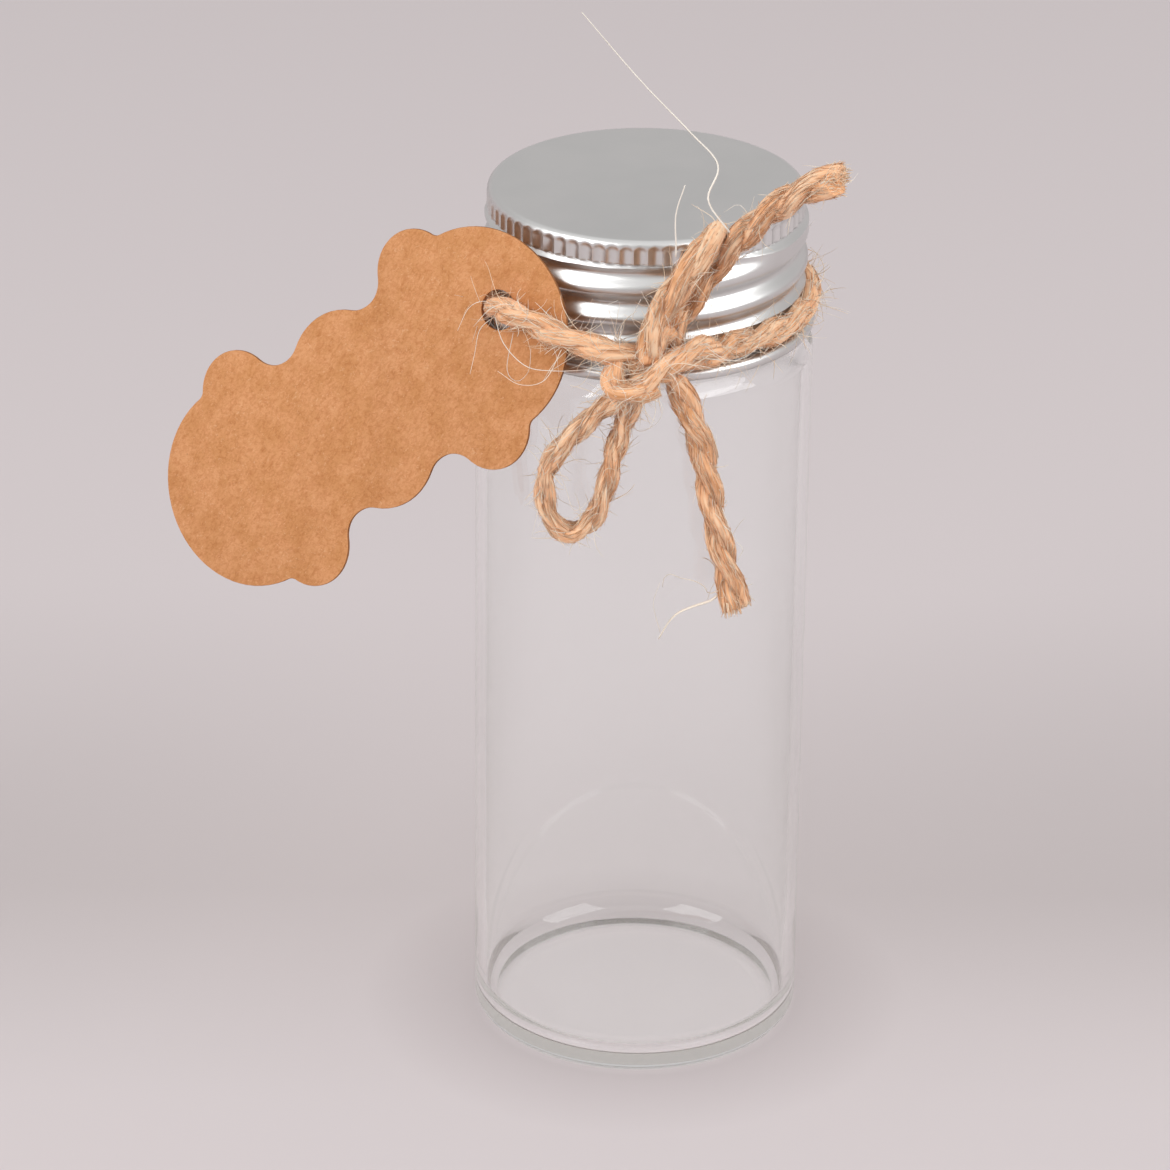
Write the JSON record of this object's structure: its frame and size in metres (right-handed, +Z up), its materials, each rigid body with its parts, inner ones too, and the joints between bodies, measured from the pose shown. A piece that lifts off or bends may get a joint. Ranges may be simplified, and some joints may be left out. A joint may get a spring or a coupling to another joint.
{
  "type": "message in a bottle",
  "caption": "Clear glass tube bottle with a rolled aluminium screw cap, a sealing liner, jute twine tied in a bow round the cap and a wavy kraft card tag for the message.",
  "frame": {"origin": "centre of the bottle's flat base, on the surface it stands on", "axes": "+Z up the bottle's axis, -Y to the front, where the bow is tied, so the tag leans out to the front left"},
  "size_m": [0.0919, 0.0659, 0.1457],
  "materials": {
    "clear_glass": "clear, fire polished",
    "cap_aluminium": "satin rolled sheet, clear lacquer",
    "liner_foam": "matt closed-cell foam",
    "kraft_card": "uncoated kraft card",
    "jute_twine": "two-ply natural jute, hairy"
  },
  "bodies": {
    "bottle": {"bottle": "clear_glass"},
    "liner": {"liner": "liner_foam"},
    "cap": {"cap_shell": "cap_aluminium", "twine_band": "jute_twine", "twine_knot": "jute_twine", "twine_lower_loop": "jute_twine", "twine_upper_loop": "jute_twine", "twine_upper_tail": "jute_twine", "twine_lower_tail": "jute_twine"},
    "tag": {"tag": "kraft_card"}
  },
  "joints": [
    {"name": "cap_lift", "type": "slide", "parent": "bottle", "child": "liner", "axis": [0, 0, 1], "range_m": [0, 0.0216]},
    {"name": "cap_turn", "type": "hinge", "parent": "liner", "child": "cap", "pos_m": [0, 0, 0.12], "axis": [0, 0, 1], "range_deg": [0, 1800]},
    {"name": "tag_swing", "type": "hinge", "parent": "cap", "child": "tag", "pos_m": [-0.01993, -0.01801, 0.1165], "axis": [-0.5261, -0.8101, 0.2588], "range_deg": [-40, 45]}
  ],
  "couplings": [
    {"joint": "cap_lift", "follows": "cap_turn", "m_per_rad": 0.00068437}
  ]
}
